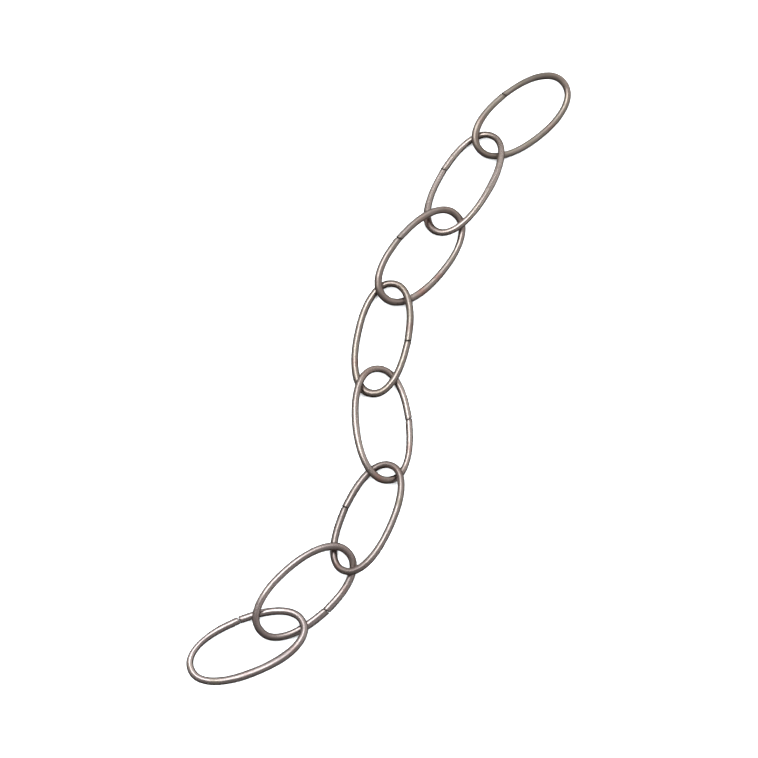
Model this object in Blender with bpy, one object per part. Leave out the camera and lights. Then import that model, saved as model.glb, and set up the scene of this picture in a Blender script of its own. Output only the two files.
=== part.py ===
"""A length of oval link chain, lying slack in an S curve on a level floor.

Eight open links are bent from round wire. Each link passes through the next one,
and its two cut ends butt together in the middle of one long side.
Metres, +Z up. The origin is on the floor, in the middle of the chain's box.
"""

from math import cos, pi, radians, sin

import bpy
import numpy as np

# Driving dimensions
MM = 0.001
WIRE = 3.2 * MM          # diameter of the wire
GAP = 0.4 * MM           # clearance left where one link bears on another
SEAM = 0.25 * MM         # slit between the two cut ends of a link
STRAIGHT = 5.0 * MM      # unbent wire at each cut end
ROUNDNESS = 2.2          # exponent of the oval: 2 is an ellipse, more is squarer
POINTS = 56              # points along the wire of one link
SIDES = 12               # sides of the wire's section

# How the links lie, from the top right end of the S to the bottom left end.
# x, y: middle of the link, mm. turn: direction of its long axis, degrees from +X.
# length, width: outer size, mm. seam: the long side with the cut ends, 1 left and
# -1 right of that direction. slip: how far the cut is from that side's middle, mm.
LINKS = [
    dict(x=63.9, y=122.6, turn=39.0, length=54.8, width=28.2, seam=1, slip=-1.0),
    dict(x=36.9, y=89.4, turn=60.5, length=56.7, width=27.6, seam=1, slip=1.8),
    dict(x=16.4, y=54.1, turn=50.5, length=54.9, width=28.1, seam=1, slip=-0.8),
    dict(x=-1.0, y=15.0, turn=79.5, length=56.0, width=27.0, seam=-1, slip=-0.4),
    dict(x=-1.0, y=-25.3, turn=95.5, length=55.1, width=27.9, seam=-1, slip=1.6),
    dict(x=-7.7, y=-68.4, turn=66.5, length=55.3, width=26.7, seam=1, slip=0.8),
    dict(x=-35.4, y=-101.6, turn=42.0, length=55.2, width=28.2, seam=-1, slip=1.7),
    dict(x=-60.5, y=-125.8, turn=23.0, length=56.3, width=29.0, seam=1, slip=1.1),
]

# Where each later link swings about the link before it: along the chain and across
# it, mm, from the middle of the eye that the two links share.
SWIVELS = [(0, 4), (2, -5), (-4, 0), (0, 2), (0, 2), (-4, 0), (6, 2)]

METAL_COLOUR = (0.23, 0.19, 0.165, 1.0)
METAL_ROUGHNESS = 0.42


def oval(length, width, count=720):
    """Centre line of a link's wire in its own plane, closed, anticlockwise."""
    angle = np.linspace(0.0, 2.0 * pi, count, endpoint=False)
    c, s = np.cos(angle), np.sin(angle)
    power = 2.0 / ROUNDNESS
    u = (length - WIRE) / 2 * np.sign(c) * np.abs(c) ** power
    v = (width - WIRE) / 2 * np.sign(s) * np.abs(s) ** power
    return np.column_stack([u, v])


def wire_path(link):
    """Points of one link's wire from cut end to cut end, in the link's own plane."""
    loop = oval(link["length"] * MM, link["width"] * MM)
    off_cut = np.abs(loop[:, 0] - link["slip"] * MM)
    start = int(np.argmin(np.where(loop[:, 1] * link["seam"] > 0, off_cut, np.inf)))
    loop = np.roll(loop, -start, axis=0)
    loop = np.vstack([loop, loop[:1]])
    run = np.concatenate([[0.0], np.cumsum(np.hypot(*np.diff(loop, axis=0).T))])
    around = run[-1]

    def at(place):
        return np.array([np.interp(place, run, loop[:, 0]), np.interp(place, run, loop[:, 1])])

    def heading(place):
        step = at(place + 0.1 * MM) - at(place - 0.1 * MM)
        return step / np.hypot(*step)

    # equal steps of the oval's angle put the points closer together round its ends
    steps = np.linspace(0, len(run) - 1, POINTS)
    places = np.clip(np.interp(steps, np.arange(len(run)), run), SEAM / 2, around - SEAM / 2)
    path = []
    for place in places:
        # the wire was bent between its two ends, which stay straight up to the cut
        bent = min(max(place, STRAIGHT), around - STRAIGHT)
        path.append(at(bent) + heading(bent) * (place - bent))
    return np.array(path)


def height(path, lean):
    """Height of a link's middle when the wire of its low side touches the floor."""
    return WIRE / 2 * cos(pi / SIDES) - (path[:, 1] * sin(lean)).min()


def lay(path, link, lean):
    """The wire's points in the world: leaned, turned and lowered onto the floor."""
    turn = radians(link["turn"])
    along, across = path[:, 0], path[:, 1] * cos(lean)
    x = link["x"] * MM + along * cos(turn) - across * sin(turn)
    y = link["y"] * MM + along * sin(turn) + across * cos(turn)
    z = height(path, lean) + path[:, 1] * sin(lean)
    return np.column_stack([x, y, z])


def crossings(a, b):
    """Where two closed lines cross in plan: the point on a, and how far a is above b."""
    da, db = np.roll(a, -1, axis=0) - a, np.roll(b, -1, axis=0) - b
    det = np.outer(da[:, 0], db[:, 1]) - np.outer(da[:, 1], db[:, 0])
    wx = b[None, :, 0] - a[:, None, 0]
    wy = b[None, :, 1] - a[:, None, 1]
    with np.errstate(divide="ignore", invalid="ignore"):
        s = (wx * db[None, :, 1] - wy * db[None, :, 0]) / det
        t = (wx * da[:, None, 1] - wy * da[:, None, 0]) / det
    found = []
    for i, j in np.argwhere((s >= 0) & (s < 1) & (t >= 0) & (t < 1)):
        on_a = a[i] + s[i, j] * da[i]
        on_b = b[j] + t[i, j] * db[j]
        normal = np.cross(da[i], db[j])
        normal *= np.sign(normal[2]) / np.linalg.norm(normal)
        found.append((on_a, float(np.dot(on_a - on_b, normal))))
    return found


def raised(link, lean, point):
    """How far a point lies from the link's long axis, positive on its raised side."""
    turn = radians(link["turn"])
    across = (point[1] - link["y"] * MM) * cos(turn) - (point[0] - link["x"] * MM) * sin(turn)
    return across if lean > 0 else -across


def settle(paths, rounds=40):
    """Lean of each link, radians: just enough to bear on the links beside it.

    Each link lies with one long side on the floor and the other on its neighbours.
    The raised side is the left one and the right one in turn.
    """
    leans = [radians(12.0) * (-1) ** k for k in range(len(LINKS))]
    for _ in range(rounds):
        lines = [lay(*each) for each in zip(paths, LINKS, leans)]
        for k, link in enumerate(LINKS):
            reach = (link["width"] * MM - WIRE) / 2
            lifts = []
            for other in (k - 1, k + 1):
                if 0 <= other < len(LINKS):
                    for point, above in crossings(lines[k], lines[other]):
                        out = raised(link, leans[k], point)
                        if out > 0:
                            lifts.append((WIRE + GAP - above) / (reach + out))
            leans[k] += max(lifts) * (-1) ** k
    return leans


def swivel_point(k, lines):
    """Plan position of the axis that link k swings about, in the eye it shares."""
    along, across = SWIVELS[k - 1]
    (p, _), (q, _) = crossings(lines[k - 1], lines[k])
    back = np.array([LINKS[k - 1][axis] - LINKS[k][axis] for axis in "xy"])
    back /= np.hypot(*back)
    aside = np.array([-back[1], back[0]])
    return (p + q)[:2] / 2 + (back * along + aside * across) * MM


def metal(name):
    """Plain antiqued iron."""
    material = bpy.data.materials.new(name)
    material.use_nodes = True
    shader = material.node_tree.nodes["Principled BSDF"]
    shader.inputs["Base Color"].default_value = METAL_COLOUR
    shader.inputs["Metallic"].default_value = 1.0
    shader.inputs["Roughness"].default_value = METAL_ROUGHNESS
    return material


def wire_link(name, path, lean, collection):
    """One open link: a round wire along its path, with closed ends.

    The tilt turns the wire's section so that one of its flats faces the floor.
    """
    curve = bpy.data.curves.new(name, "CURVE")
    curve.dimensions = "3D"
    curve.bevel_depth = WIRE / 2
    curve.bevel_resolution = (SIDES - 4) // 2
    curve.use_fill_caps = True
    spline = curve.splines.new("POLY")
    spline.points.add(len(path) - 1)
    for point, (u, v) in zip(spline.points, path):
        point.co = (u, v, 0.0, 1.0)
        point.tilt = pi / SIDES - abs(lean)
    curve.materials.append(metal(name + "_metal"))
    obj = bpy.data.objects.new(name, curve)
    collection.objects.link(obj)
    return obj


def build():
    for obj in list(bpy.data.objects):
        bpy.data.objects.remove(obj, do_unlink=True)
    collection = bpy.data.collections.new("oval_link_chain")
    bpy.context.scene.collection.children.link(collection)

    paths = [wire_path(link) for link in LINKS]
    leans = settle(paths)
    lines = [lay(*each) for each in zip(paths, LINKS, leans)]
    plan = np.vstack(lines)[:, :2]
    centre = (plan.min(axis=0) + plan.max(axis=0)) / 2

    # each link after the first hangs from an empty on the axis that it swings about
    parent, parent_at = None, centre
    for k, (link, path, lean) in enumerate(zip(LINKS, paths, leans)):
        obj = wire_link(f"link_{k + 1}", path, lean, collection)
        if k > 0:
            pivot = bpy.data.objects.new(f"swivel_{k + 1}", None)
            collection.objects.link(pivot)
            pivot_at = swivel_point(k, lines)
            pivot.parent = parent
            pivot.location = (*(pivot_at - parent_at), 0.0)
            parent, parent_at = pivot, pivot_at
        middle = np.array([link["x"], link["y"]]) * MM
        obj.parent = parent
        obj.location = (*(middle - parent_at), height(path, lean))
        obj.rotation_euler = (lean, 0.0, radians(link["turn"]))


build()
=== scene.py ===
"""Looks of the length of oval link chain: antiqued iron wire on a plain pale floor.

Each link's wire is swept again, finer and rounder, along the path that the CAD has.
Its surface keeps straightened coordinates, so that marks follow the wire round bends.
"""

from math import cos, pi, radians, sin, tan

import bpy
import numpy as np
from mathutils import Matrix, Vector

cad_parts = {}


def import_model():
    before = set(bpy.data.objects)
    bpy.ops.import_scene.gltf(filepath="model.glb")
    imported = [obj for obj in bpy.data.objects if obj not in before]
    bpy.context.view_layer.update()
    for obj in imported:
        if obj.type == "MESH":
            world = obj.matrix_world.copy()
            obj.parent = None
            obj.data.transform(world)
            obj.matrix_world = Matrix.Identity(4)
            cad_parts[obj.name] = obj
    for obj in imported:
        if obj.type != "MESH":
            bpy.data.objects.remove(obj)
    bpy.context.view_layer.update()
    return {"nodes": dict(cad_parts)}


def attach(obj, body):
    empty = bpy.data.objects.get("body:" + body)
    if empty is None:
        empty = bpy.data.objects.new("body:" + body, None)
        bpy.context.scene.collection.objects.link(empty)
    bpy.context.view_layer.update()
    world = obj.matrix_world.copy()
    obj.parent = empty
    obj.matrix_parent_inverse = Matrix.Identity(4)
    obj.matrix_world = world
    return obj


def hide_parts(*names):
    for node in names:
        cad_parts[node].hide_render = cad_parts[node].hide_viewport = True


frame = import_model()

MM = 0.001

# The wire and its links, as the CAD has them
WIRE = 3.2 * MM          # diameter of the wire
SEAM = 0.25 * MM         # slit between the two cut ends of a link
STRAIGHT = 5.0 * MM      # unbent wire at each cut end
ROUNDNESS = 2.2          # exponent of the oval

# x, y: middle of the link, mm. turn: direction of its long axis, degrees from +X.
# length, width: outer size, mm. seam: the long side with the cut ends, 1 left and
# -1 right of that direction. slip: how far the cut is from that side's middle, mm.
LINKS = [
    dict(x=63.9, y=122.6, turn=39.0, length=54.8, width=28.2, seam=1, slip=-1.0),
    dict(x=36.9, y=89.4, turn=60.5, length=56.7, width=27.6, seam=1, slip=1.8),
    dict(x=16.4, y=54.1, turn=50.5, length=54.9, width=28.1, seam=1, slip=-0.8),
    dict(x=-1.0, y=15.0, turn=79.5, length=56.0, width=27.0, seam=-1, slip=-0.4),
    dict(x=-1.0, y=-25.3, turn=95.5, length=55.1, width=27.9, seam=-1, slip=1.6),
    dict(x=-7.7, y=-68.4, turn=66.5, length=55.3, width=26.7, seam=1, slip=0.8),
    dict(x=-35.4, y=-101.6, turn=42.0, length=55.2, width=28.2, seam=-1, slip=1.7),
    dict(x=-60.5, y=-125.8, turn=23.0, length=56.3, width=29.0, seam=1, slip=1.1),
]

# In what follows, a tuple of eight has one value for each link, from link_1 to
# link_8. A place along a link's wire is how far it is from the cut, in mm, going
# anticlockwise as seen from above.

# The surface of the swept wire
OVAL_STEPS = 1440        # points that the oval is drawn with
HEADING_STEP = 0.3 * MM  # how far each way the wire's direction is read
RINGS = 620              # even rings along one link
SIDES = 40               # points round one ring
END_RINGS = (0.0, 0.015, 0.04, 0.08, 0.13, 0.19, 0.25, 0.33)  # mm from a cut end
END_ROUND = (0.25, 0.25, 0.3, 0.25, 0.25, 0.25, 0.3, 0.6)     # mm, of the cut ends
SLANT = (18, 12, 20, 12, 18, 6, 14, 6)  # degrees, of the cut off square
SLANT_REACH = 3.0 * MM   # how soon the slant dies away from the cut
BEND_RADIUS = 12.0 * MM  # radius that the sharpness of a bend is measured by
BEND_START = 0.15        # sharpness from which the wire counts as bent
SQUASH = 0.025           # how much narrower the wire is where it is fully bent
FLATNESS = 0.015         # how much thinner it is square to the link's own plane
LUMPS = 0.007            # slow unevenness of the drawn wire, part of its radius
LONG_LUMP = 5.3          # lengths of its two waves, mm a radian
SHORT_LUMP = 2.3
SHORT_SHARE = 0.6        # height of the short wave beside the long one
# width of the wire in the link's own plane, as a part of WIRE
BREADTH = (0.98, 1.0, 1.03, 1.04, 1.02, 1.04, 1.07, 1.10)
# link: places where its wire is wider (above 0) or narrower than that, and how much
SWELLS = {
    1: ((22, 0.15), (98, 0.12), (121, -0.08)),
    2: ((8, -0.06), (29, 0.17), (72, 0.11)),
    3: ((27, 0.12), (50, 0.06), (76, -0.10), (94, 0.10)),
    4: ((10, 0.05), (92, 0.15)),
    5: ((60, 0.07), (89, 0.08), (107, -0.12)),
    6: ((44, 0.09), (116, 0.04)),
    7: ((4, 0.08), (38, 0.05), (120, 0.13)),
    8: ((21, -0.22), (60, 0.14), (78, 0.17)),
}
SWELL_SPREAD = 9.0       # mm

# The map of that surface, on a square of side 1
STRIPS = 4               # lengths that the wire is laid out in
STRIP_START = 0.01       # where they start, from the left
STRIP_LENGTH = 0.87      # how long the longest is
STRIP_EDGE = 0.03        # part of a strip's height left free at its top and bottom
DISC_RADIUS = 0.035      # of the two cut faces
DISC_PLACES = ((0.945, 0.06), (0.945, 0.16))  # their middles

# The finish, link by link, some of it painted light and shade
# how bright each link's metal is: partly its own tone, partly painted light, a brighter link
# standing in for a highlight that the key light misses and a darker one for shade
LINK_TONE_AND_PAINTED_LIGHT = (1.03, 1.20, 0.93, 0.90, 1.07, 0.83, 0.99, 0.97)  # how bright the metal is
# how much rougher the surface is than the usual one
DULL = (0.10, -0.06, 0.06, 0.0, -0.02, 0.02, 0.0, -0.02)
# how yellow-brown the link is, from 0 rosy grey to 1
WARMTH = (0.85, 0.55, 0.55, 0.80, 0.50, 0.40, 0.15, 0.10)
BEND_DARKENING = (1.5, 1.2, 1.6, 1.1, 1.3, 1.0, 1.2, 0.2)  # how dark the bends are
CUT_DARK = (0.9, 0.7, 1.0, 0.9, 0.8, 0.9, 1.0, 0.1)  # how dark the cut ends' rims are
CUT_SPREAD = 0.45 * MM   # how soon that fades away from the cut
# link: places where the metal's colour is made brighter (above 0) or darker (below), partly
# uneven tone and partly painted light and shade, such as painted shade on the underside of a
# bend;
# the same places are made smoother or duller; and how much
PLACE_TONE_AND_PAINTED_LIGHT = {
    1: ((32, -0.15), (92, 0.30), (105, -0.40), (120, -0.12)),
    2: ((6, 0.10), (33, -0.18), (95, -0.20), (118, 0.10)),
    3: ((49, 0.10), (77, 0.22), (121, -0.12)),
    4: ((12, -0.15), (39, 0.15)),
    5: ((16, 0.20), (49, -0.15), (73, 0.12), (87, -0.20)),
    6: ((2, -0.18), (25, -0.12), (50, 0.08)),
    7: ((49, -0.18), (76, 0.20), (97, -0.25), (121, -0.08)),
    8: ((30, 0.35), (60, -0.15), (79, -0.30), (117, 0.18)),
}
PAINTED_LIGHT_SPREAD = 9.0        # mm
# roughness taken away where the colour is painted fully brighter, and added where it is
# painted darker
PAINTED_LIGHT_SMOOTHING = 0.2     # roughness that full wear takes away
# link: places of rusty stains (above 0) and grey-olive ones (below), and how strong
STAINS = {
    1: ((16, 0.6), (56, -0.8), (70, 0.8), (116, -0.5)),
    2: ((28, 0.6), (57, -0.5), (101, -0.4)),
    3: ((4, -0.6), (50, 1.4), (60, 1.0), (71, -0.5), (112, 0.6)),
    4: ((7, 0.6), (26, -0.7), (77, 0.7)),
    5: ((36, 0.4), (88, 1.0), (112, 0.5)),
    6: ((28, 0.6), (75, -1.0), (90, 0.5)),
    7: ((12, 0.4), (24, -0.6), (74, -0.6)),
    8: ((31, -0.5), (47, -1.0), (61, 0.3), (84, 0.4)),
}
STAIN_SPREAD = 2.6       # mm
PATTERN_STEP = 0.2       # metres between the parts of the patterns that two links show

# The metal. Colours are linear.
TINTS = [                # from rosy grey to yellow-brown
    (0.0, (0.420, 0.360, 0.354)),
    (0.5, (0.420, 0.362, 0.338)),
    (1.0, (0.410, 0.362, 0.310)),
]
TINT_DRIFT = 1.2         # how far the tint drifts along that range
RUST = (0.42, 0.26, 0.225, 1)
OLIVE = (0.39, 0.345, 0.275, 1)
PATINA = (0.20, 0.155, 0.135, 1)
CUT_RIM = (0.06, 0.045, 0.038, 1)
BENT = (0.74, 0.66, 0.63, 1)  # what the colour is multiplied by where the wire is bent
BENT_SHARE = 0.5         # how much of each of these covers the metal
PATINA_SHARE = 0.5
CUT_SHARE = 0.8

# Patterns. scale: features in a mm, twice across the wire and once along it.
DRIFT = dict(scale=(0.28, 0.28, 0.15), detail=4.0, rough=0.6, warp=0.6)
STREAKS = dict(scale=(2.4, 2.4, 0.10), detail=3.0, rough=0.6)
GRAIN = dict(scale=(6.0, 6.0, 2.4), detail=3.0, rough=0.6)
CLOUDS = dict(scale=(0.55, 0.55, 0.22), detail=3.0, rough=0.55)
FLECKS = dict(scale=(3.2, 3.2, 1.1), detail=4.0, rough=0.65)

# How much shows at which level of a pattern, as pairs of level and amount
STAIN_BY_CLOUD = [(0.36, 0.15), (0.58, 1.0)]
STAIN_BY_FLECK = [(0.40, 0.35), (0.58, 1.3)]
SHADE_BY_STREAK = [(0.34, 0.76), (0.50, 1.0), (0.68, 1.12)]
PATINA_BY_GRAIN = [(0.53, 0.0), (0.68, 1.0)]

ROUGHNESS = 0.12         # of the metal where nothing adds to it
CLOUD_ROUGH = 0.28       # what clouds, patina and stains add
PATINA_ROUGH = 0.10
STAIN_ROUGH = 0.14

# The relief, mm
CLOUD_HEIGHT = 0.04
STREAK_HEIGHT = 0.025
PIT_DEPTH = 0.012

# The camera
PHOTO_SIZE = 758         # pixels, square
ELEVATION = 75.0         # degrees above the floor, seen from -Y
DISTANCE = 1.1           # metres
SCALE = 2.2              # photo pixels a millimetre at the target
SENSOR = 36.0            # mm
TARGET = (-2.54, -3.05, 0.0)  # point at the picture's middle, mm

# The floor
FLOOR_SIZE = 6.0         # metres
FLOOR_DROP = 0.0002      # metres that it lies under the chain
FLOOR_GREY = (0.9, 0.9, 0.9, 1)
FLOOR_ROUGHNESS = 0.9

# The light. Places and radii are in metres.
LAMP_TINT = (0.955, 1.0, 1.02)
KEY_PLACE = (-0.14, 0.155, 0.60)
KEY_RADIUS = 0.21
KEY_RADIANCE = 4.4
WASH_PLACE = (0.0, 0.0, 1.6)  # lights the floor, and is not mirrored in the metal
WASH_RADIUS = 1.0
WASH_RADIANCE = 9.0
ROOM_TINT = (1.0, 0.975, 0.96)
ROOM_LEVEL = 0.68        # radiance at the horizon to the sides
ROOM_SLOPE = (0.17, 0.38, -0.16)  # how it grows towards each axis
ROOM_BELOW = 0.1         # part of it that is left below the floor
ROOM_FADE = (-0.25, 0.15)  # sines of the elevations between which it fades to that


def oval(length, width):
    """Centre line of a link's wire in its own plane, closed, anticlockwise."""
    angle = np.linspace(0.0, 2.0 * pi, OVAL_STEPS, endpoint=False)
    c, s = np.cos(angle), np.sin(angle)
    power = 2.0 / ROUNDNESS
    u = (length - WIRE) / 2 * np.sign(c) * np.abs(c) ** power
    v = (width - WIRE) / 2 * np.sign(s) * np.abs(s) ** power
    return np.column_stack([u, v])


def ring_places(total):
    """Distances along the wire of all rings, closer together at the cut ends."""
    ends = np.array(END_RINGS) * MM
    even = np.linspace(ends[-1], total - ends[-1], RINGS)
    return np.concatenate([ends[:-1], even, total - ends[-2::-1]])


def wire_path(link):
    """Centre line from cut end to cut end: points, headings and distance along."""
    loop = oval(link["length"] * MM, link["width"] * MM)
    off_cut = np.abs(loop[:, 0] - link["slip"] * MM)
    start = int(np.argmin(np.where(loop[:, 1] * link["seam"] > 0, off_cut, np.inf)))
    loop = np.roll(loop, -start, axis=0)
    loop = np.vstack([loop, loop[:1]])
    run = np.concatenate([[0.0], np.cumsum(np.hypot(*np.diff(loop, axis=0).T))])
    around = run[-1]

    def at(place):
        return np.column_stack([np.interp(place, run, loop[:, k]) for k in (0, 1)])

    along = ring_places(around - SEAM)
    place = along + SEAM / 2
    bent = np.clip(place, STRAIGHT, around - STRAIGHT)
    heading = at(bent + HEADING_STEP) - at(bent - HEADING_STEP)
    heading /= np.linalg.norm(heading, axis=1)[:, None]
    return at(bent) + heading * (place - bent)[:, None], heading, along


def from_cut(along):
    """Distance of each ring from the nearer cut end."""
    return np.minimum(along, along[-1] - along)


def bending(along, heading):
    """How sharply the wire bends along its way: 0 on the long sides, 1 at the ends."""
    swing = np.unwrap(np.arctan2(heading[:, 1], heading[:, 0]))
    return np.clip(np.abs(np.gradient(swing, along)) * BEND_RADIUS - BEND_START, 0.0, 1.0)


def near(s, places, spread):
    """Soft bumps, each of its own height and all of one spread, at places along s."""
    return sum(much * np.exp(-((s - place) / spread) ** 2) for place, much in places)


def section(number, along, heading, angle):
    """Radius of the wire at each ring and angle: nearly round, slightly worked."""
    bend = bending(along, heading)[:, None]
    s = along[:, None] / MM
    a = angle[None, :]
    # the phases tell the links apart and wind the lumps round the wire
    lumps = np.sin(s / LONG_LUMP + 2.1 * number + 1.3 * np.sin(a + number))
    lumps = lumps + SHORT_SHARE * np.sin(
        s / SHORT_LUMP + 1.1 * number + 2.0 * np.cos(a - 0.7 * number))
    breadth = BREADTH[number - 1] + near(s, SWELLS[number], SWELL_SPREAD)
    shape = 1.0 + (breadth - 1.0 - SQUASH * bend) * np.cos(a) ** 2
    shape = shape - FLATNESS * np.sin(a) ** 2
    # lumps only take away, so that they bring no link closer to its neighbours
    radius = WIRE / 2 * (shape + LUMPS * (lumps - 1.0 - SHORT_SHARE))
    end_round = END_ROUND[number - 1] * MM
    inset = np.clip(1.0 - from_cut(along)[:, None] / end_round, 0.0, 1.0)
    return radius - end_round * (1.0 - np.sqrt(1.0 - inset ** 2))


def wire_faces(rings):
    """Faces of a wire of so many rings, turned outward, with its two cut faces last."""
    side = np.arange(SIDES)
    following = (side + 1) % SIDES
    low = (np.arange(rings - 1) * SIDES)[:, None]
    high = low + SIDES
    quads = np.stack([low + side, high + side, high + following, low + following], axis=-1)
    faces = [tuple(quad) for quad in quads.reshape(-1, 4).tolist()]
    faces.append(tuple(range(SIDES)))
    faces.append(tuple(reversed(range((rings - 1) * SIDES, rings * SIDES))))
    return faces


def strip_map(mesh, along):
    """Lays the wire's surface out flat in strips, with its two cut faces beside them.
    """
    first = np.arange(len(along) - 1)
    strip = first * STRIPS // len(first)
    starts = along[np.searchsorted(strip, np.arange(STRIPS))]
    longest = np.diff(np.append(starts, along[-1])).max()
    u = [(along[ring] - starts[strip]) / longest for ring in (first, first + 1)]
    u = STRIP_START + STRIP_LENGTH * np.stack([u[0], u[1], u[1], u[0]], axis=-1)[:, None]
    side = np.arange(SIDES)
    v = np.stack([side, side, side + 1, side + 1], axis=-1)[None] / SIDES
    v = (strip[:, None, None] + STRIP_EDGE + (1.0 - 2.0 * STRIP_EDGE) * v) / STRIPS
    strips = np.stack(np.broadcast_arrays(u, v), axis=-1).reshape(-1, 2)
    angle = 2.0 * pi * side / SIDES
    disc = DISC_RADIUS * np.column_stack([np.cos(angle), np.sin(angle)])
    discs = [disc + DISC_PLACES[0], disc[::-1] + DISC_PLACES[1]]
    layer = mesh.uv_layers.new(name="OFBake")
    layer.data.foreach_set("uv", np.vstack([strips, *discs]).ravel())


def masks(number, along, heading):
    """What the finish depends on, at each ring of a link."""
    place = along / MM
    # painted light and shade, partly uneven tone: the colour made brighter or darker place by
    # place
    painted_light = near(place, PLACE_TONE_AND_PAINTED_LIGHT[number], PAINTED_LIGHT_SPREAD)
    return {
        "cut": CUT_DARK[number - 1] * np.exp(-from_cut(along) / CUT_SPREAD),
        "bend": bending(along, heading) * BEND_DARKENING[number - 1],
        "stain": near(place, STAINS[number], STAIN_SPREAD),
        "warmth": np.full(len(along), WARMTH[number - 1]),
        # each link's tone and painted light, made brighter or darker where light and shade are
        # painted
        "tone_and_painted_light": LINK_TONE_AND_PAINTED_LIGHT[number - 1] * (1.0 + painted_light),
        "dull": DULL[number - 1] - PAINTED_LIGHT_SMOOTHING * painted_light,
    }


def plane_normal(node):
    """Upward normal of the plane that a CAD link lies in."""
    points = np.array([v.co for v in frame["nodes"][node].data.vertices])
    normal = np.linalg.svd(points - points.mean(axis=0), full_matrices=False)[2][2]
    return normal * np.sign(normal[2])


def in_scene(name, data):
    """A new object in the scene."""
    obj = bpy.data.objects.new(name, data)
    bpy.context.scene.collection.objects.link(obj)
    return obj


def swept_link(name, node, number, link):
    """The wire of one link, in the world, with its map, coordinates and masks."""
    points, heading, along = wire_path(link)
    turn = radians(link["turn"])
    axis = np.array([cos(turn), sin(turn), 0.0])
    normal = plane_normal(node)
    aside = np.cross(normal, axis)
    middle = np.array([link["x"] * MM, link["y"] * MM, 0.0])
    middle[2] = WIRE / 2 - (aside[2] * points[:, 1]).min()
    centre = middle + points[:, :1] * axis + points[:, 1:] * aside
    forward = heading[:, :1] * axis + heading[:, 1:] * aside
    outward = heading[:, 1:] * axis - heading[:, :1] * aside

    angle = np.linspace(0.0, 2.0 * pi, SIDES, endpoint=False)
    radius = section(number, along, heading, angle)
    spoke = outward[:, None] * np.cos(angle)[None, :, None]
    spoke = spoke + (normal * np.sin(angle)[:, None])[None]
    slant = tan(radians(SLANT[number - 1])) * np.exp(-from_cut(along) / SLANT_REACH)
    shift = slant[:, None] * radius * np.cos(angle)
    verts = centre[:, None] + spoke * radius[..., None] + forward[:, None] * shift[..., None]
    straight = np.stack([
        radius * np.cos(angle), radius * np.sin(angle),
        np.repeat(along[:, None] + PATTERN_STEP * number, SIDES, axis=1),
    ], axis=-1)

    mesh = bpy.data.meshes.new(name)
    mesh.from_pydata(verts.reshape(-1, 3).tolist(), [], wire_faces(len(along)))
    mesh.shade_smooth()
    strip_map(mesh, along)
    layer = mesh.attributes.new("straight", "FLOAT_VECTOR", "POINT")
    layer.data.foreach_set("vector", straight.ravel())
    for mask, values in masks(number, along, heading).items():
        layer = mesh.attributes.new(mask, "FLOAT", "POINT")
        layer.data.foreach_set("value", np.repeat(values, SIDES))
    mesh.update()
    return in_scene(name, mesh)


class Graph:
    """Short ways to add nodes to a material or a world and to join them."""

    def __init__(self, tree):
        self.nodes = tree.nodes
        self.links = tree.links

    def add(self, kind, inputs=(), **settings):
        """A node with its inputs joined to sockets or set to values."""
        node = self.nodes.new("ShaderNode" + kind)
        for key, value in settings.items():
            setattr(node, key, value)
        for socket, value in dict(inputs).items():
            if isinstance(value, bpy.types.NodeSocket):
                self.links.new(value, node.inputs[socket])
            else:
                node.inputs[socket].default_value = value
        return node

    def attribute(self, name, output="Fac"):
        """What the mesh stores under a name."""
        return self.add("Attribute", attribute_name=name).outputs[output]

    def stretched(self, vector, scale):
        """The vector with each axis scaled."""
        return self.add("VectorMath", {0: vector, 1: scale}, operation="MULTIPLY").outputs[0]

    def noise(self, vector, scale, detail, rough, warp=0.0):
        """A pattern of clouds, about 0.5 on average."""
        node = self.add("TexNoise", {"Vector": self.stretched(vector, scale), "Scale": 1.0,
                                     "Detail": detail, "Roughness": rough, "Distortion": warp})
        return node.outputs["Fac"]

    def ramp(self, value, stops):
        """Colours or greys between given positions."""
        node = self.add("ValToRGB", {"Fac": value})
        elements = node.color_ramp.elements
        elements[0].position = stops[0][0]
        elements[1].position = stops[-1][0]
        for place, _ in stops[1:-1]:
            elements.new(place)
        for element, (_, colour) in zip(elements, stops):
            element.color = (*colour, 1) if isinstance(colour, tuple) else (colour,) * 3 + (1,)
        return node.outputs["Color"]

    def math(self, operation, *values, clamp=False):
        """What the operation makes of the values."""
        node = self.add("Math", enumerate(values), operation=operation, use_clamp=clamp)
        return node.outputs[0]

    def mix(self, amount, first, second, blend="MIX"):
        """Two colours mixed or blended."""
        node = self.add("Mix", {0: amount, 6: first, 7: second}, data_type="RGBA",
                        blend_type=blend)
        return node.outputs[2]


def new_material(name):
    """A material with nodes, and its shader."""
    material = bpy.data.materials.new(name)
    material.use_nodes = True
    return material, material.node_tree.nodes["Principled BSDF"]


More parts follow.
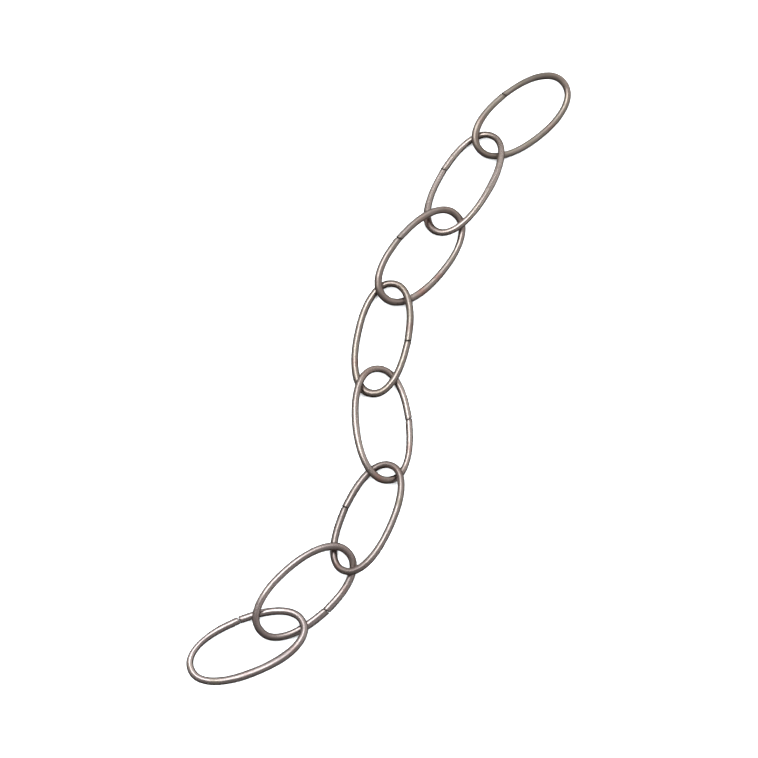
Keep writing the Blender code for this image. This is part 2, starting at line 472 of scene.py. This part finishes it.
def iron_colour(g, wire, stain, streaks, patina):
    """Colour of the metal: each link's tint with its stains, streaks and patina."""
    # the tint drifts a little along the wire
    drift = g.math("MULTIPLY_ADD", g.noise(wire, **DRIFT), TINT_DRIFT, -TINT_DRIFT / 2)
    colour = g.ramp(g.math("ADD", drift, g.attribute("warmth")), TINTS)
    colour = g.mix(g.math("MAXIMUM", stain, 0.0, clamp=True), colour, RUST)
    colour = g.mix(g.math("MULTIPLY", stain, -1.0, clamp=True), colour, OLIVE)
    # streaks from drawing
    colour = g.mix(1.0, colour, g.ramp(streaks, SHADE_BY_STREAK), "MULTIPLY")
    # painted light and shade: each link's tone and places painted brighter or darker,
    # multiplied into the colour
    colour = g.mix(1.0, colour, g.attribute("tone_and_painted_light", "Color"), "MULTIPLY")
    # darker and redder where the wire is bent, then pits and cut ends
    bend = g.math("MULTIPLY", g.attribute("bend"), BENT_SHARE, clamp=True)
    colour = g.mix(bend, colour, g.mix(1.0, colour, BENT, "MULTIPLY"))
    colour = g.mix(g.math("MULTIPLY", patina, PATINA_SHARE), colour, PATINA)
    return g.mix(g.math("MULTIPLY", g.attribute("cut"), CUT_SHARE), colour, CUT_RIM)


def iron_roughness(g, clouds, stain, patina):
    """Roughness of the metal: cloudy, more where it is pitted, stained or dull."""
    rough = g.math("MULTIPLY_ADD", clouds, CLOUD_ROUGH, ROUGHNESS)
    rough = g.math("ADD", rough, g.math("MULTIPLY", patina, PATINA_ROUGH))
    stained = g.math("ABSOLUTE", stain)
    rough = g.math("ADD", rough, g.math("MULTIPLY", stained, STAIN_ROUGH))
    return g.math("ADD", rough, g.attribute("dull"))


def iron_relief(g, clouds, streaks, patina):
    """Normal of the metal: soft dents, lines along the wire and fine pits."""
    height = g.math("MULTIPLY", clouds, CLOUD_HEIGHT)
    height = g.math("ADD", height, g.math("MULTIPLY", streaks, STREAK_HEIGHT))
    height = g.math("SUBTRACT", height, g.math("MULTIPLY", patina, PIT_DEPTH))
    bump = g.add("Bump", {"Strength": 1.0, "Distance": MM, "Height": height})
    return bump.outputs["Normal"]


def antiqued_iron(name):
    """Drawn wire: warm grey patina, streaks along it, fine pits, dull patches."""
    material, shader = new_material(name)
    g = Graph(material.node_tree)
    wire = g.stretched(g.attribute("straight", "Vector"), (1 / MM,) * 3)
    streaks = g.noise(wire, **STREAKS)
    clouds = g.noise(wire, **CLOUDS)
    patina = g.ramp(g.noise(wire, **GRAIN), PATINA_BY_GRAIN)
    # stains fade in and out unevenly
    patchy = g.math("MULTIPLY", g.ramp(clouds, STAIN_BY_CLOUD),
                    g.ramp(g.noise(wire, **FLECKS), STAIN_BY_FLECK))
    stain = g.math("MULTIPLY", g.attribute("stain"), patchy)

    shader.inputs["Metallic"].default_value = 1.0
    g.links.new(iron_colour(g, wire, stain, streaks, patina), shader.inputs["Base Color"])
    g.links.new(iron_roughness(g, clouds, stain, patina), shader.inputs["Roughness"])
    g.links.new(iron_relief(g, clouds, streaks, patina), shader.inputs["Normal"])
    return material


def floor():
    """A plain pale floor, too bright to show shadows and not mirrored in the metal."""
    bpy.ops.mesh.primitive_plane_add(size=FLOOR_SIZE, location=(0, 0, -FLOOR_DROP))
    plane = bpy.context.object
    plane.name = "studio_floor"
    plane.visible_glossy = False
    material, shader = new_material("pale_floor")
    shader.inputs["Base Color"].default_value = FLOOR_GREY
    shader.inputs["Roughness"].default_value = FLOOR_ROUGHNESS
    plane.data.materials.append(material)


def aimed(name, data, place, back):
    """A lamp or camera at a place, with its back turned the given way."""
    obj = in_scene(name, data)
    obj.location = place
    obj.rotation_euler = back.to_track_quat("Z", "Y").to_euler()
    return obj


def area_light(name, place, radius, radiance, glossy=True):
    """A round soft light that faces the chain. Its power follows from its radiance."""
    light = bpy.data.lights.new(name, "AREA")
    light.shape = "DISK"
    light.size = 2 * radius
    light.energy = radiance * (pi * radius) ** 2
    light.color = LAMP_TINT
    aimed(name, light, place, Vector(place)).visible_glossy = glossy


def camera():
    """The photo's view: from the front and high above, nearly straight down."""
    data = bpy.data.cameras.new("camera")
    data.sensor_width = SENSOR
    data.lens = SCALE * DISTANCE / MM * SENSOR / PHOTO_SIZE
    tilt = radians(ELEVATION)
    back = Vector((0.0, -cos(tilt), sin(tilt)))
    place = Vector(TARGET) * MM + back * DISTANCE
    bpy.context.scene.camera = aimed("camera", data, place, back)


def world():
    """Soft room light: brighter behind the chain than in front, dim below the floor."""
    room = bpy.data.worlds.new("studio")
    bpy.context.scene.world = room
    room.use_nodes = True
    g = Graph(room.node_tree)
    way = g.add("TexCoord").outputs["Generated"]
    slope = g.add("VectorMath", {0: way, 1: ROOM_SLOPE}, operation="DOT_PRODUCT")
    level = g.math("ADD", slope.outputs["Value"], ROOM_LEVEL)
    upward = g.add("SeparateXYZ", {0: way}).outputs["Z"]
    above = g.add("MapRange", {"Value": upward, "To Min": ROOM_BELOW, "To Max": 1.0,
                               "From Min": ROOM_FADE[0], "From Max": ROOM_FADE[1]},
                  interpolation_type="SMOOTHSTEP")
    strength = g.math("MULTIPLY", level, above.outputs["Result"])
    back = g.nodes["Background"]
    back.inputs["Color"].default_value = (*ROOM_TINT, 1)
    g.links.new(strength, back.inputs["Strength"])


camera()
world()
floor()
area_light("key", KEY_PLACE, KEY_RADIUS, KEY_RADIANCE)
area_light("wash", WASH_PLACE, WASH_RADIUS, WASH_RADIANCE, glossy=False)
bpy.context.scene.view_settings.view_transform = "Standard"

iron = antiqued_iron("antiqued_iron")
for number, link in enumerate(LINKS, start=1):
    node = f"link_{number}"
    piece = swept_link(f"{node}_wire", node, number, link)
    piece.data.materials.append(iron)
    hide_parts(node)
    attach(piece, node)
